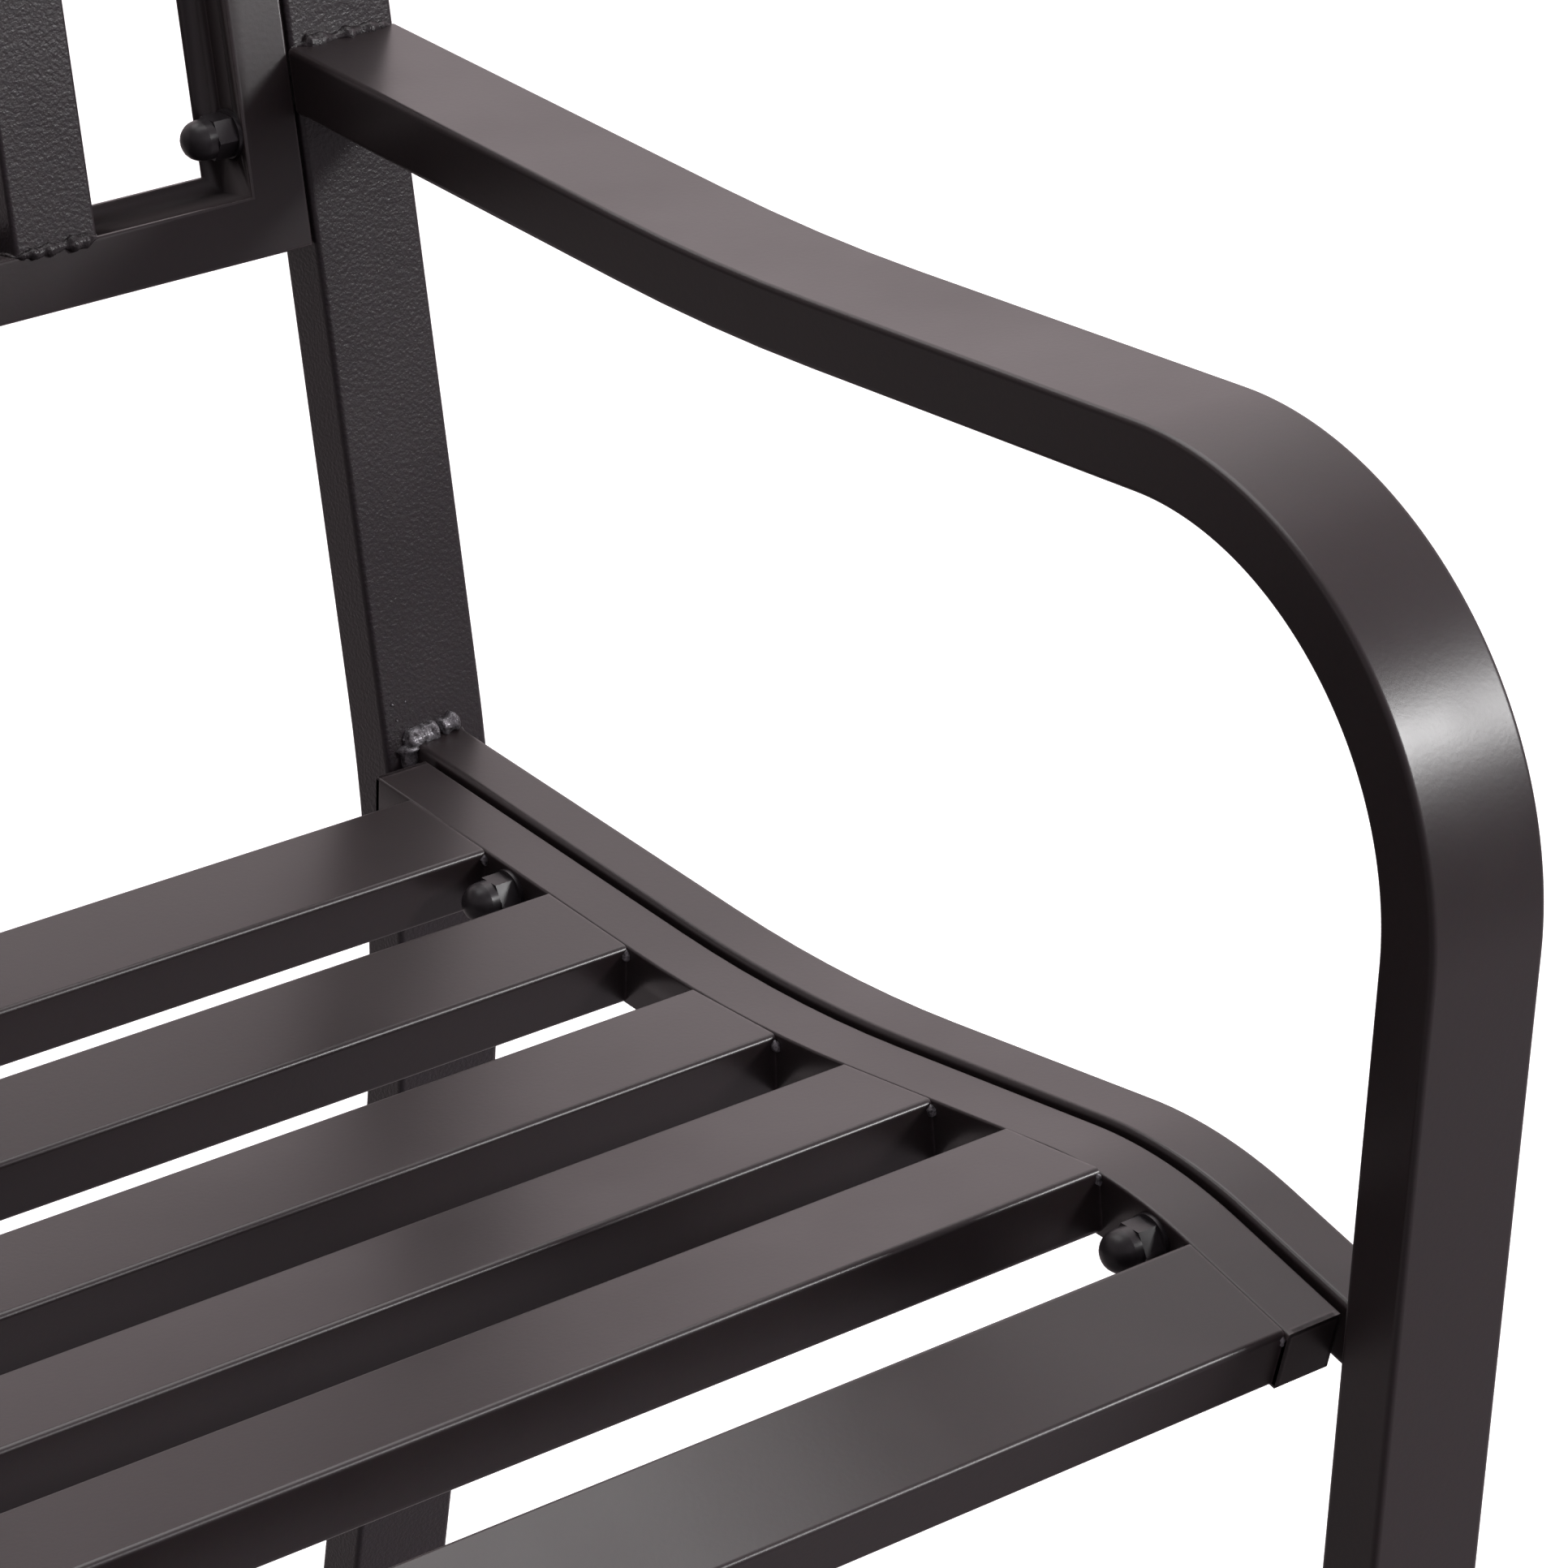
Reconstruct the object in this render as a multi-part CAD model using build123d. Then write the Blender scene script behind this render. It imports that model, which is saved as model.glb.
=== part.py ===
from build123d import *
import os
from math import cos, radians, sin, tan

# Steel garden bench for two or three people, made of bent flat-sided tube.
# Millimetres. X runs along the bench, Y to the back, Z up.
# The origin is on the floor, at the middle of the length and of the depth.

# ---- driving sizes: the whole bench ----
bench_length = 1273.0
bench_depth = 590.0
bench_height = 860.0
seat_height = 429.5
arm_height = 651.8

# ---- driving sizes: the tubes ----
tube_width = 40.0
tube_depth = 20.0
arm_width = 42.0
arm_depth = 21.0
tube_wall = 1.2
tube_corner = 1.8
smallest_corner = 0.3
rail_width = 20.0
rail_inset = 10.9

# ---- driving sizes: the bends of a side frame ----
front_leg_tilt = 3.5
front_foot_setback = 44.2
arm_front_rise = 3.1
arm_rear_rise = 2.3
arm_dip_offset = 19.1
arm_dip_drop = 8.7
arm_corner_radius = 108.0
arm_dip_radius = 1000.0
back_lean = 10.4
rear_leg_splay = 10.5
hip_height = 347.4
hip_radius = 490.0
rear_foot_setback = 39.2

# ---- driving sizes: the seat ----
seat_rear_rise = 3.5
seat_middle_rise = 7.3
seat_front_drop = 14.5
seat_hump_setback = 114.2
seat_hollow_offset = -8.1
seat_hump_lift = 2.8
seat_hump_radius = 150.0
seat_hollow_radius = 580.0
seat_drop = 1.7
end_bar_width = 20.0
end_bar_sheet = 1.5
end_bar_corner = 0.8
end_bar_front_gap = 10.9
end_bar_rear_gap = 5.9
seat_slat_count = 6
seat_slat_gap = 32.8
seat_rear_edge_gap = 18.0
seat_front_edge_gap = 1.2
last_slat_extra_gap = 2.0
slat_wall = 1.0

# ---- driving sizes: the back panel ----
panel_bottom_height = 589.0
panel_top_drop = 10.0
frame_width = 20.0
frame_depth = 20.0
frame_flange_reach = 6.0
frame_flange_thickness = 2.0
frame_wall = 1.5
frame_corner = 1.2
back_slat_count = 12
back_slat_width = 30.0
back_slat_depth = 15.0
back_slat_corner = 1.6
back_slat_end_gap = 58.0

# ---- driving sizes: bolts, nuts and plastic plugs ----
bolt_diameter = 8.0
bolt_hole = 8.6
bolt_head_diameter = 14.0
bolt_head_height = 4.4
hex_socket = 5.0
hex_socket_depth = 2.4
nut_flats = 13.0
nut_hex_height = 6.8
nut_dome_diameter = 13.2
dome_rounding = 0.48
nut_height = 16.0
nut_thread_depth = 11.0
bolt_tip_gap = 1.0
bore_slack = 0.1
washer_diameter = 16.0
washer_thickness = 1.4
back_bolt_inset = 40.0
rear_seat_bolt_shift = 2.7
front_seat_bolt_shift = 4.3
plug_base = 4.0
plug_insert = 22.0
plug_wall = 2.0
plug_clearance = 0.15

# ---- clearances between bolted pieces ----
seat_side_gap = 2.0
panel_side_gap = 1.2

# ---- sizes that follow ----
half_length = bench_length / 2
half_depth = bench_depth / 2
rail_depth = tube_depth
end_bar_height = tube_depth
post_center_x = half_length - arm_width / 2
post_inner_x = post_center_x - tube_width / 2
post_outer_x = post_center_x + tube_width / 2
rail_outer_x = half_length - rail_inset
rail_center_x = rail_outer_x - rail_width / 2
end_bar_outer_x = rail_outer_x - rail_width - seat_side_gap
end_bar_inner_x = end_bar_outer_x - end_bar_width
panel_half_width = post_inner_x - panel_side_gap
frame_inner_x = panel_half_width - frame_width
frame_reach = frame_width + frame_flange_reach
lean = radians(back_lean)


def line_height(point, rise, y):
    """Height at y of a line through point that rises by that angle towards the back."""
    return point[1] + (y - point[0]) * tan(radians(rise))


def meeting(point_a, angle_a, point_b, angle_b):
    """Where two lines cross in the side view. Angles are measured from +Y towards +Z."""
    ca, sa = cos(radians(angle_a)), sin(radians(angle_a))
    cb, sb = cos(radians(angle_b)), sin(radians(angle_b))
    dy, dz = point_b[0] - point_a[0], point_b[1] - point_a[1]
    along = (dy * sb - dz * cb) / (ca * sb - sa * cb)
    return (point_a[0] + along * ca, point_a[1] + along * sa)


def side_point(point, x=0.0):
    """A point of the side view, as a point in space."""
    return Vector(x, point[0], point[1])


def bent_line(corners, radii, x=0.0):
    """Straight runs through the corners, joined by tangent arcs, in a plane of constant X."""
    edges = []
    start = side_point(corners[0], x)
    for before, corner, after, radius in zip(corners, corners[1:], corners[2:], radii):
        bend = side_point(corner, x)
        coming = (bend - side_point(before, x)).normalized()
        going = (side_point(after, x) - bend).normalized()
        reach = radius * tan(radians(coming.get_angle(going)) / 2)
        arc_start = bend - coming * reach
        arc_end = bend + going * reach
        edges.append(Line(start, arc_start))
        edges.append(TangentArc(arc_start, arc_end, tangent=coming))
        start = arc_end
    edges.append(Line(start, side_point(corners[-1], x)))
    return Wire(edges)


def plane_on(path, fraction=0.0):
    """A plane across the path, with its local x along the bench."""
    return Plane(origin=path @ fraction, x_dir=(1, 0, 0), z_dir=path % fraction)


def swept_bar(path, width, depth, corner):
    """A solid bar with rounded long edges, run along the path."""
    section = plane_on(path) * RectangleRounded(width, depth, corner)
    return sweep(section, path=path)


def swept_tube(path, width, depth, corner, wall):
    """The outside and the inside of a tube run along the path."""
    outside = swept_bar(path, width, depth, corner)
    inner_corner = max(corner - wall, smallest_corner)
    inside = swept_bar(path, width - 2 * wall, depth - 2 * wall, inner_corner)
    return outside, inside


def cylinder_x(diameter, x_from, x_to, y, z):
    """A round bar along X, between two values of X."""
    start = Plane(origin=(x_from, y, z), x_dir=(0, 1, 0), z_dir=(1, 0, 0))
    return extrude(start * Circle(diameter / 2), x_to - x_from)


def hexagon_x(flats, x_from, x_to, y, z):
    """A hexagonal bar along X, between two values of X."""
    start = Plane(origin=(x_from, y, z), x_dir=(0, 1, 0), z_dir=(1, 0, 0))
    hexagon = RegularPolygon(flats / 2, 6, major_radius=False)
    return extrude(start * hexagon, x_to - x_from)


def slab(z_from, z_to):
    """Everything between two heights."""
    size = 2 * bench_length
    return Pos(0, 0, (z_from + z_to) / 2) * Box(size, size, z_to - z_from)


def mirrored(shape):
    """The same piece for the other end of the bench."""
    return mirror(shape, about=Plane.YZ)


# ---- side view: the middle lines of the bent tubes ----
front_foot = (-half_depth + front_foot_setback, 0.0)
arm_dip = (arm_dip_offset, arm_height - arm_depth / 2 - arm_dip_drop)
arm_corner = meeting(front_foot, 90 + front_leg_tilt, arm_dip, -arm_front_rise)
rear_foot = (half_depth - rear_foot_setback, 0.0)
hip = (rear_foot[0] - hip_height * tan(radians(rear_leg_splay)), hip_height)
post_top_z = bench_height - plug_base * cos(lean) - tube_depth / 2 * sin(lean)
post_top = (hip[0] + (post_top_z - hip_height) * tan(lean), post_top_z)
arm_end_y = hip[0] + (arm_height - hip_height) * tan(lean)
arm_end = (arm_end_y, line_height(arm_dip, arm_rear_rise, arm_end_y))

# ---- side view: the seat curve, at mid-height of the seat rail ----
seat_hump = (-half_depth + seat_hump_setback, seat_height - rail_depth / 2 + seat_hump_lift)
seat_hollow = (seat_hollow_offset, line_height(seat_hump, -seat_middle_rise, seat_hollow_offset))
rail_front_y = front_foot[0] - seat_height * tan(radians(front_leg_tilt))
rail_front = (rail_front_y, line_height(seat_hump, seat_front_drop, rail_front_y))
rail_rear_y = hip[0] + (seat_height - hip_height) * tan(lean)
rail_rear = (rail_rear_y, line_height(seat_hollow, seat_rear_rise, rail_rear_y))
seat_corners = [rail_rear, seat_hollow, seat_hump, rail_front]
seat_radii = [seat_hollow_radius, seat_hump_radius]


def lengthened(corners, start_by, end_by):
    """The same side-view line with its two ends carried on straight."""
    first = side_point(corners[0]) - side_point(corners[1])
    last = side_point(corners[-1]) - side_point(corners[-2])
    start = side_point(corners[0]) + first.normalized() * start_by
    end = side_point(corners[-1]) + last.normalized() * end_by
    return [(start.Y, start.Z)] + corners[1:-1] + [(end.Y, end.Z)]


def seat_line(x, drop=0.0):
    """The seat curve at one value of X, from the back to the front, lowered by drop."""
    return bent_line([(y, z - drop) for y, z in seat_corners], seat_radii, x)


def fraction_at_y(path, y):
    """How far along a line from back to front this Y lies, from 0 to 1."""
    low, high = 0.0, 1.0
    for _ in range(40):
        middle = (low + high) / 2
        if (path @ middle).Y > y:
            low = middle
        else:
            high = middle
    return low


# ---- the long tubes of the right-hand side frame, each as an outside and an inside ----
arm_corners = lengthened([front_foot, arm_corner, arm_dip, arm_end], tube_width, 0.0)
post_corners = lengthened([rear_foot, hip, post_top], tube_width, 0.0)
arm_path = bent_line(arm_corners, [arm_corner_radius, arm_dip_radius], post_center_x)
post_path = bent_line(post_corners, [hip_radius], post_center_x)
rail_path = seat_line(rail_center_x)
arm_tube = (arm_width, arm_depth, tube_corner, tube_wall)
post_tube = (tube_width, tube_depth, tube_corner, tube_wall)
arm_outside, arm_inside = swept_tube(arm_path, *arm_tube)
post_outside, post_inside = swept_tube(post_path, *post_tube)
rail_outside, rail_inside = swept_tube(rail_path, rail_width, rail_depth, tube_corner, tube_wall)

# ---- the plane of the back panel: its front face, with local y up the panel ----
face_back = tube_depth / 2 / cos(lean)
panel_bottom_y = hip[0] + (panel_bottom_height - hip_height) * tan(lean) - face_back
panel_height = (bench_height - panel_top_drop - panel_bottom_height) / cos(lean)
panel_plane = Plane(
    origin=(0, panel_bottom_y, panel_bottom_height),
    x_dir=(1, 0, 0),
    z_dir=(0, -cos(lean), sin(lean)),
)


def on_panel(x, up, back=0.0):
    """A point of the back panel: along it, up it and back from its front face."""
    return panel_plane.from_local_coords(Vector(x, up, -back))


# ---- the line of the end bars, and the seat slats along it ----
end_bar_center_x = end_bar_outer_x - end_bar_width / 2
slat_line = seat_line(end_bar_center_x, seat_drop)
post_near_seat = post_outside & slab(seat_height - 3 * tube_depth, seat_height)
bar_rear_y = post_near_seat.bounding_box().min.Y - end_bar_rear_gap
leg_near_seat = arm_outside & slab(seat_height - 2 * tube_depth, seat_height - tube_depth)
bar_front_y = leg_near_seat.bounding_box().max.Y + end_bar_front_gap
bar_start = fraction_at_y(slat_line, bar_rear_y)
bar_stop = fraction_at_y(slat_line, bar_front_y)
end_bar_line = slat_line.trim(bar_start, bar_stop)
slat_room = end_bar_line.length - seat_rear_edge_gap - seat_front_edge_gap - last_slat_extra_gap
seat_slat_width = (slat_room - (seat_slat_count - 1) * seat_slat_gap) / seat_slat_count


def slat_place(number):
    """How far along the end bar the middle of a seat slat lies, counted from the back."""
    along = seat_rear_edge_gap + seat_slat_width / 2 + (seat_slat_width + seat_slat_gap) * number
    if number == seat_slat_count - 1:
        along += last_slat_extra_gap
    return along


def on_end_bar(along):
    """The point of the end bar's line that lies so far from its rear end."""
    return end_bar_line @ (along / end_bar_line.length)


# ---- where the bolts go: between the first two seat slats, and between the last two ----
bolt_line = seat_line(rail_center_x, seat_drop / 2)
rear_bolt_along = (slat_place(0) + slat_place(1)) / 2 - rear_seat_bolt_shift
last_gap_middle = (slat_place(seat_slat_count - 2) + slat_place(seat_slat_count - 1)) / 2
front_bolt_along = last_gap_middle + front_seat_bolt_shift
seat_bolt_ys = [on_end_bar(along).Y for along in (rear_bolt_along, front_bolt_along)]
seat_bolts_at = [bolt_line @ fraction_at_y(bolt_line, y) for y in seat_bolt_ys]
back_bolt_ups = [back_bolt_inset, panel_height - back_bolt_inset]
back_bolt_depth = (frame_depth - frame_flange_thickness) / 2
back_bolts_at = [on_panel(0, up, back_bolt_depth) for up in back_bolt_ups]


def drilled(shape, points):
    """The shape with a clearance hole along X at each bolt."""
    for point in points:
        shape -= cylinder_x(bolt_hole, 0, bench_length, point.Y, point.Z)
    return shape


# ---- the right-hand side frame: arm and front leg, post and rear leg, seat rail ----
below_tubes = slab(-2 * tube_width, plug_base)
behind_post_face = swept_bar(post_path, 2 * arm_width, tube_depth, tube_corner)
arm_front_leg_right = arm_outside - arm_inside - below_tubes - behind_post_face
back_post_right = drilled(post_outside - post_inside - below_tubes, back_bolts_at)
seat_rail_right = drilled(rail_outside - rail_inside - arm_outside - post_outside, seat_bolts_at)


def plug_sleeve(path, width, depth):
    """The hollow part of a plastic plug that grips the inside of a tube of that size."""
    slack = 2 * (tube_wall + plug_clearance)
    corner = tube_corner - tube_wall
    return swept_tube(path, width - slack, depth - slack, corner, plug_wall)


def foot_plug(corners, width, depth):
    """A plastic foot: a flat base on the floor and a sleeve up inside the leg."""
    path = bent_line(lengthened(corners, tube_width, 0.0), [], post_center_x)
    base = swept_bar(path, width, depth, tube_corner) & slab(0, plug_base)
    outside, inside = plug_sleeve(path, width, depth)
    return base + ((outside - inside) & slab(plug_base, plug_base + plug_insert))


def post_cap():
    """A plastic cap: a plate across the top of the post and a sleeve down inside it."""
    top = side_point(post_top, post_center_x)
    upward = side_point((sin(lean), cos(lean)))
    plate_path = Wire([Line(top, top + upward * plug_base)])
    sleeve_path = Wire([Line(top, top - upward * plug_insert)])
    plate = swept_bar(plate_path, tube_width, tube_depth, tube_corner)
    outside, inside = plug_sleeve(sleeve_path, tube_width, tube_depth)
    return plate + (outside - inside)


front_foot_plug_right = foot_plug([front_foot, arm_corner], arm_width, arm_depth)
rear_foot_plug_right = foot_plug([rear_foot, hip], tube_width, tube_depth)
post_cap_right = post_cap()

# ---- the seat frame: end bars of folded sheet, and slats of tube ----


def end_bar():
    """An upside-down channel of folded sheet, closed by a folded flap at each end."""
    place = plane_on(end_bar_line)
    rounded = RectangleRounded(end_bar_width, end_bar_height, end_bar_corner)
    square_foot = Pos(0, -end_bar_height / 4) * Rectangle(end_bar_width, end_bar_height / 2)
    outside = sweep(place * (rounded + square_foot), path=end_bar_line)
    flap = end_bar_sheet / end_bar_line.length
    hollow_line = end_bar_line.trim(flap, 1 - flap)
    opening = Rectangle(end_bar_width - 2 * end_bar_sheet, end_bar_height)
    hollow = sweep(plane_on(hollow_line) * Pos(0, -end_bar_sheet) * opening, path=hollow_line)
    return outside - hollow


def seat_slat(number):
    """One seat slat, its top flush with the tops of the end bars, counted from the back."""
    fraction = slat_place(number) / end_bar_line.length
    place = end_bar_line @ fraction
    start = (-end_bar_inner_x, place.Y, place.Z)
    across = Plane(origin=start, x_dir=end_bar_line % fraction, z_dir=(1, 0, 0))
    outline = RectangleRounded(seat_slat_width, tube_depth, tube_corner)
    hollow_size = (seat_slat_width - 2 * slat_wall, tube_depth - 2 * slat_wall)
    hollow = RectangleRounded(*hollow_size, tube_corner - slat_wall)
    return extrude(across * (outline - hollow), 2 * end_bar_inner_x)


seat_end_bar_right = drilled(end_bar(), seat_bolts_at)
seat_slats = [seat_slat(number) for number in range(seat_slat_count)]


# ---- the back panel: a box frame with a rear flange, mitred at the corners ----
def panel_box(inset, depth_from, depth_to):
    """A box on the back panel, inset from its outline, between two depths."""
    size = (2 * (panel_half_width - inset), panel_height - 2 * inset)
    middle = Pos(0, panel_height / 2, -depth_from)
    return extrude(panel_plane * middle * Rectangle(*size), depth_from - depth_to)


def ring(inset_from, inset_to, depth_from, depth_to):
    """A rectangular ring on the back panel."""
    return panel_box(inset_from, depth_from, depth_to) - panel_box(inset_to, depth_from, depth_to)


def panel_frame():
    """The whole welded frame, before it is parted at the mitres."""
    tube = ring(0, frame_width, 0, frame_depth)
    face_edges = tube.faces().sort_by(Axis(panel_plane.origin, panel_plane.z_dir))[-1].edges()
    tube = fillet(face_edges, frame_corner)
    hollow = ring(frame_wall, frame_width - frame_wall, frame_wall, frame_depth - frame_wall)
    flange_front = frame_depth - frame_flange_thickness
    flange = ring(frame_width - frame_wall, frame_reach, flange_front, frame_depth)
    return tube - hollow + flange


def mitred(corners):
    """Everything in front of and behind a four-sided patch of the back panel."""
    patch = panel_plane * Polygon(*corners, align=None)
    return extrude(patch, 2 * frame_depth, both=True)


frame = panel_frame()
w, h, f = panel_half_width, panel_height, frame_reach
back_rail_bottom = frame & mitred([(-w, 0), (w, 0), (w - f, f), (-w + f, f)])
back_rail_top = frame & mitred([(-w, h), (w, h), (w - f, h - f), (-w + f, h - f)])
back_side_bar_right = frame & mitred([(w, 0), (w, h), (w - f, h - f), (w - f, f)])
back_side_bar_right = drilled(back_side_bar_right, back_bolts_at)


def back_slat(number):
    """One upright slat of the back, its face flush with the face of the frame."""
    clear = 2 * (frame_inner_x - back_slat_end_gap) - back_slat_width
    pitch = clear / (back_slat_count - 1)
    x = (number - (back_slat_count - 1) / 2) * pitch
    foot = Plane(
        origin=on_panel(x, frame_width, back_slat_depth / 2),
        x_dir=(1, 0, 0),
        z_dir=panel_plane.y_dir,
    )
    outline = RectangleRounded(back_slat_width, back_slat_depth, back_slat_corner)
    hollow_size = (back_slat_width - 2 * slat_wall, back_slat_depth - 2 * slat_wall)
    hollow = RectangleRounded(*hollow_size, back_slat_corner - slat_wall)
    return extrude(foot * (outline - hollow), panel_height - 2 * frame_width)


back_slats = [back_slat(number) for number in range(back_slat_count)]


# ---- bolts, washers and cap nuts for the right-hand side ----
def bolt(point, outer_x, inner_x):
    """A button-head bolt from the outer side of the frame to inside its cap nut."""
    tip_x = inner_x - washer_thickness - nut_thread_depth + bolt_tip_gap
    shank = cylinder_x(bolt_diameter, tip_x, outer_x, point.Y, point.Z)
    head_x = outer_x + bolt_head_height
    head = cylinder_x(bolt_head_diameter, outer_x, head_x, point.Y, point.Z)
    crown = head.faces().sort_by(Axis.X)[-1].edges()
    head = fillet(crown, bolt_head_height * 0.6)
    socket = hexagon_x(hex_socket, head_x - hex_socket_depth, head_x, point.Y, point.Z)
    return shank + head - socket


def washer(point, inner_x):
    """A flat washer against the inner wall."""
    outer_x = inner_x - washer_thickness
    disc = cylinder_x(washer_diameter, outer_x, inner_x, point.Y, point.Z)
    return disc - cylinder_x(bolt_hole, outer_x, inner_x, point.Y, point.Z)


def cap_nut(point, inner_x):
    """A domed cap nut: a hexagon against the washer and a round cap over the bolt end."""
    base_x = inner_x - washer_thickness
    hexagon = hexagon_x(nut_flats, base_x - nut_hex_height, base_x, point.Y, point.Z)
    tip_x, dome_x = base_x - nut_height, base_x - nut_hex_height
    dome = cylinder_x(nut_dome_diameter, tip_x, dome_x, point.Y, point.Z)
    dome = fillet(dome.faces().sort_by(Axis.X)[0].edges(), nut_dome_diameter * dome_rounding)
    bore_end = base_x - nut_thread_depth
    bore = cylinder_x(bolt_diameter + bore_slack, bore_end, base_x, point.Y, point.Z)
    return hexagon + dome - bore


seat_sets = [(point, end_bar_inner_x) for point in seat_bolts_at]
back_sets = [(point, frame_inner_x) for point in back_bolts_at]


def both_ends(solids):
    """A group of solids and its mirror image, as one node."""
    return Compound(children=list(solids) + [mirrored(solid) for solid in solids])


# ---- every piece under its own name ----
pieces = {
    "arm_front_leg_right": arm_front_leg_right,
    "back_post_right": back_post_right,
    "seat_rail_right": seat_rail_right,
    "seat_end_bar_right": seat_end_bar_right,
    "back_side_bar_right": back_side_bar_right,
    "front_foot_plug_right": front_foot_plug_right,
    "rear_foot_plug_right": rear_foot_plug_right,
    "post_cap_right": post_cap_right,
}
for name, piece in list(pieces.items()):
    pieces[name.replace("_right", "_left")] = mirrored(piece)
pieces["back_rail_bottom"] = back_rail_bottom
pieces["back_rail_top"] = back_rail_top
for number, piece in enumerate(seat_slats, start=1):
    pieces[f"seat_slat_{number}"] = piece
for number, piece in enumerate(back_slats, start=1):
    pieces[f"back_slat_{number:02d}"] = piece
pieces["seat_bolts"] = both_ends([bolt(at, rail_outer_x, end_bar_inner_x) for at in seat_bolts_at])
pieces["back_bolts"] = both_ends([bolt(at, post_outer_x, frame_inner_x) for at in back_bolts_at])
pieces["washers"] = both_ends([washer(*one) for one in seat_sets + back_sets])
pieces["cap_nuts"] = both_ends([cap_nut(*one) for one in seat_sets + back_sets])

os.makedirs("parts", exist_ok=True)
for name, piece in pieces.items():
    export_step(piece, f"parts/{name}.step")
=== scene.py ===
import bmesh
import bpy
from math import atan2, cos, pi, radians, sin, tan
from mathutils import Euler, Matrix, Vector


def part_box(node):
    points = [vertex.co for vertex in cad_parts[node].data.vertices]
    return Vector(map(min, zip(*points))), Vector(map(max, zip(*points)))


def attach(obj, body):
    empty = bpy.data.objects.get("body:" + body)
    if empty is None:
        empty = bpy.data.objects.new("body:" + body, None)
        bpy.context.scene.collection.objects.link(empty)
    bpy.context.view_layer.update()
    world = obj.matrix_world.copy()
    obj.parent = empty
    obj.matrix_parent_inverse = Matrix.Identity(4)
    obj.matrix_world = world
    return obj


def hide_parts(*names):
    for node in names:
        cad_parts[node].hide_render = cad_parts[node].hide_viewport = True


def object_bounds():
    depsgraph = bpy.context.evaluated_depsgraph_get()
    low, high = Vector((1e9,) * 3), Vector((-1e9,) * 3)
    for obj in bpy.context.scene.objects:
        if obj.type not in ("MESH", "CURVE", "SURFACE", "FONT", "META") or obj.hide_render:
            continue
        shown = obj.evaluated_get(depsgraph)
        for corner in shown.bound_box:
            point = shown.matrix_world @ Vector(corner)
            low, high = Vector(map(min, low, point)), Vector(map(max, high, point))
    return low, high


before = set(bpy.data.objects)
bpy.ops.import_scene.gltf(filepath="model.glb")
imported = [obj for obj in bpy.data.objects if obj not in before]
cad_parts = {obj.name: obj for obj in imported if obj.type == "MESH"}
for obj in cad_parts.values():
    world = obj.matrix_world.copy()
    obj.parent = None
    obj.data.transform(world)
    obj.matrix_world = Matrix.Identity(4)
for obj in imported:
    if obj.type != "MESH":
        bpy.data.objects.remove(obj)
cad_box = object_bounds()

# A welded steel garden bench, powder coated in bronze black. Metres, in the frame of the CAD part.
MM = 0.001

# ---- sizes read from the frame ----
post_low, post_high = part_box("back_post_right")
arm_low, arm_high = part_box("arm_front_leg_right")
rail_low, rail_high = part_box("seat_rail_right")
bar_low, bar_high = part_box("seat_end_bar_right")
panel_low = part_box("back_rail_bottom")[0]
panel_half_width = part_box("back_side_bar_right")[1].x
panel_top_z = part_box("back_rail_top")[1].z
floor_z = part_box("front_foot_plug_right")[0].z
half_depth = cad_box[1][1]
tube_width = post_high.x - post_low.x
arm_width = arm_high.x - arm_low.x
post_x = (post_low.x + post_high.x) / 2
rail_x = (rail_low.x + rail_high.x) / 2
bar_x = (bar_low.x + bar_high.x) / 2
rail_width = rail_high.x - rail_low.x
bar_width = bar_high.x - bar_low.x
seat_slats = sorted(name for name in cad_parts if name.startswith("seat_slat_"))
back_slats = sorted(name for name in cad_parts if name.startswith("back_slat_"))

# ---- the bends of the tubes, as the CAD part has them ----
tube_depth = 20 * MM
arm_depth = 21 * MM
tube_corner = 1.8 * MM
seat_height = 429.5 * MM
arm_height = 651.8 * MM
plug_base = 4 * MM
front_foot_setback, rear_foot_setback = 44.2 * MM, 39.2 * MM
front_leg_tilt = radians(3.5)
arm_front_rise, arm_rear_rise = radians(3.1), radians(2.3)
arm_dip_offset, arm_dip_drop = 19.1 * MM, 8.7 * MM
arm_radii = [108 * MM, 1000 * MM]
lean, rear_leg_splay = radians(10.4), radians(10.5)
hip_height, hip_radius = 347.4 * MM, 490 * MM
seat_rises = [radians(3.5), radians(7.3), radians(14.5)]
seat_radii = [580 * MM, 150 * MM]
seat_hump_setback, seat_hump_lift = 114.2 * MM, 2.8 * MM
seat_hollow_y = -8.1 * MM
back_slat_depth = 15 * MM
bar_sheet, bar_corner, bar_foot_corner = 1.5 * MM, 0.8 * MM, 2.2 * MM
bar_drop = 1.7 * MM
smallest_lead = 0.3 * MM


def linear(hex_colour):
    """An sRGB hex colour as the linear RGBA that a shader socket takes."""
    channels = [int(hex_colour[i:i + 2], 16) / 255 for i in (0, 2, 4)]
    return [c / 12.92 if c <= 0.04045 else ((c + 0.055) / 1.055) ** 2.4 for c in channels] + [1.0]


def add_node(tree, kind, settings=None, inputs=None):
    """Adds a node, sets its properties, and sets or links its inputs by name or by number."""
    node = tree.nodes.new(kind)
    for name, value in (settings or {}).items():
        setattr(node, name, value)
    for key, value in (inputs or {}).items():
        if isinstance(value, bpy.types.NodeSocket):
            tree.links.new(value, node.inputs[key])
        else:
            node.inputs[key].default_value = value
    return node


def new_material(name):
    """An empty node material with its output."""
    material = bpy.data.materials.new(name)
    material.use_nodes = True
    material.node_tree.nodes.clear()
    return material


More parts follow.
